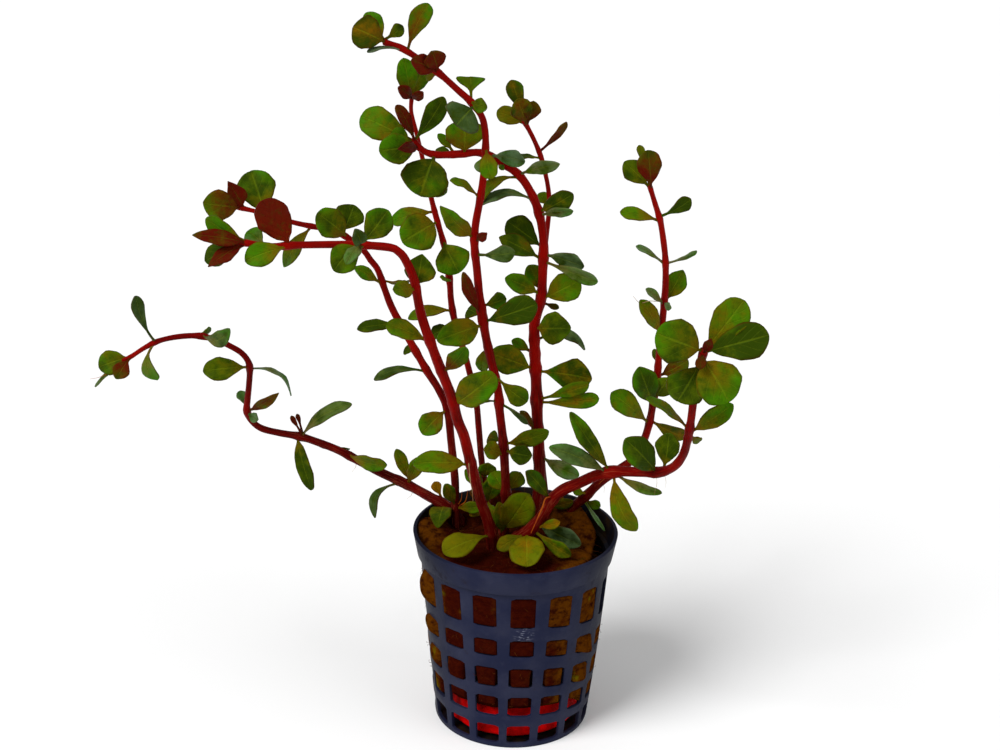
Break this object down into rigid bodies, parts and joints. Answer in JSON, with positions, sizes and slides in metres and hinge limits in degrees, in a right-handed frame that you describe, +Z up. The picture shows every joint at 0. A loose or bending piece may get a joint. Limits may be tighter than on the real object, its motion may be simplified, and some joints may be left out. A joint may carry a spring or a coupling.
{
  "type": "blood red rotala in a net pot",
  "caption": "Aquarium stem plant with paired leaves, rooted in a rockwool plug that fills a conical net pot with a weight ring at its base.",
  "frame": {"origin": "middle of the net pot's flat underside", "axes": "+Z up; +X to the right of the picture; +Y away from its camera"},
  "size_m": [0.1564, 0.0734, 0.184],
  "materials": {
    "pot_plastic": "slate navy moulded plastic, satin",
    "rockwool": "brown fibrous mineral wool, golden at its edges, damp and matt",
    "ring_ceramic": "bright red, smooth",
    "stem": "dark blood red living stem, semi-gloss, with pale streaks",
    "leaf": "dark green living leaf with a paler midrib, red-brown when young, soft sheen"
  },
  "bodies": {
    "root": {"leaf_back_05": "leaf", "leaf_back_06": "leaf", "leaf_back_07": "leaf", "leaf_back_left_02": "leaf", "leaf_back_left_03": "leaf", "leaf_back_left_04": "leaf", "leaf_back_left_05": "leaf", "leaf_far_left_05": "leaf", "leaf_far_left_10": "leaf", "leaf_front_left_05": "leaf", "leaf_front_left_08": "leaf", "leaf_front_left_10": "leaf", "leaf_front_left_15": "leaf", "leaf_front_left_16": "leaf", "leaf_front_left_17": "leaf", "leaf_right_01": "leaf", "leaf_right_14": "leaf", "leaf_right_16": "leaf", "leaf_rosette_01": "leaf", "leaf_rosette_02": "leaf", "leaf_rosette_03": "leaf", "leaf_rosette_04": "leaf", "leaf_rosette_05": "leaf", "leaf_rosette_12": "leaf", "leaf_rosette_14": "leaf", "leaf_rosette_15": "leaf", "leaf_rosette_16": "leaf", "leaf_rosette_20": "leaf", "leaf_tall_01": "leaf", "leaf_tall_04": "leaf", "leaf_tall_19": "leaf", "leaf_tall_20": "leaf", "leaf_tall_30": "leaf", "leaf_thick_01": "leaf", "leaf_thick_02": "leaf", "leaf_thick_03": "leaf", "leaf_thick_04": "leaf", "leaf_thick_06": "leaf", "leaf_thick_09": "leaf", "leaf_thick_12": "leaf", "leaf_thick_19": "leaf", "leaf_thick_20": "leaf", "leaf_thick_25": "leaf", "leaf_thick_27": "leaf", "leaf_thick_30": "leaf", "leaf_thick_31": "leaf", "leaf_thick_33": "leaf", "net_pot": "pot_plastic", "rockwool_plug": "rockwool", "stem_back": "stem", "stem_back_left": "stem", "stem_far_left": "stem", "stem_front_left": "stem", "stem_right": "stem", "stem_rosette": "stem", "stem_short_back": "stem", "stem_tall": "stem", "stem_thick": "stem", "weight_ring": "ring_ceramic"}
  },
  "joints": []
}
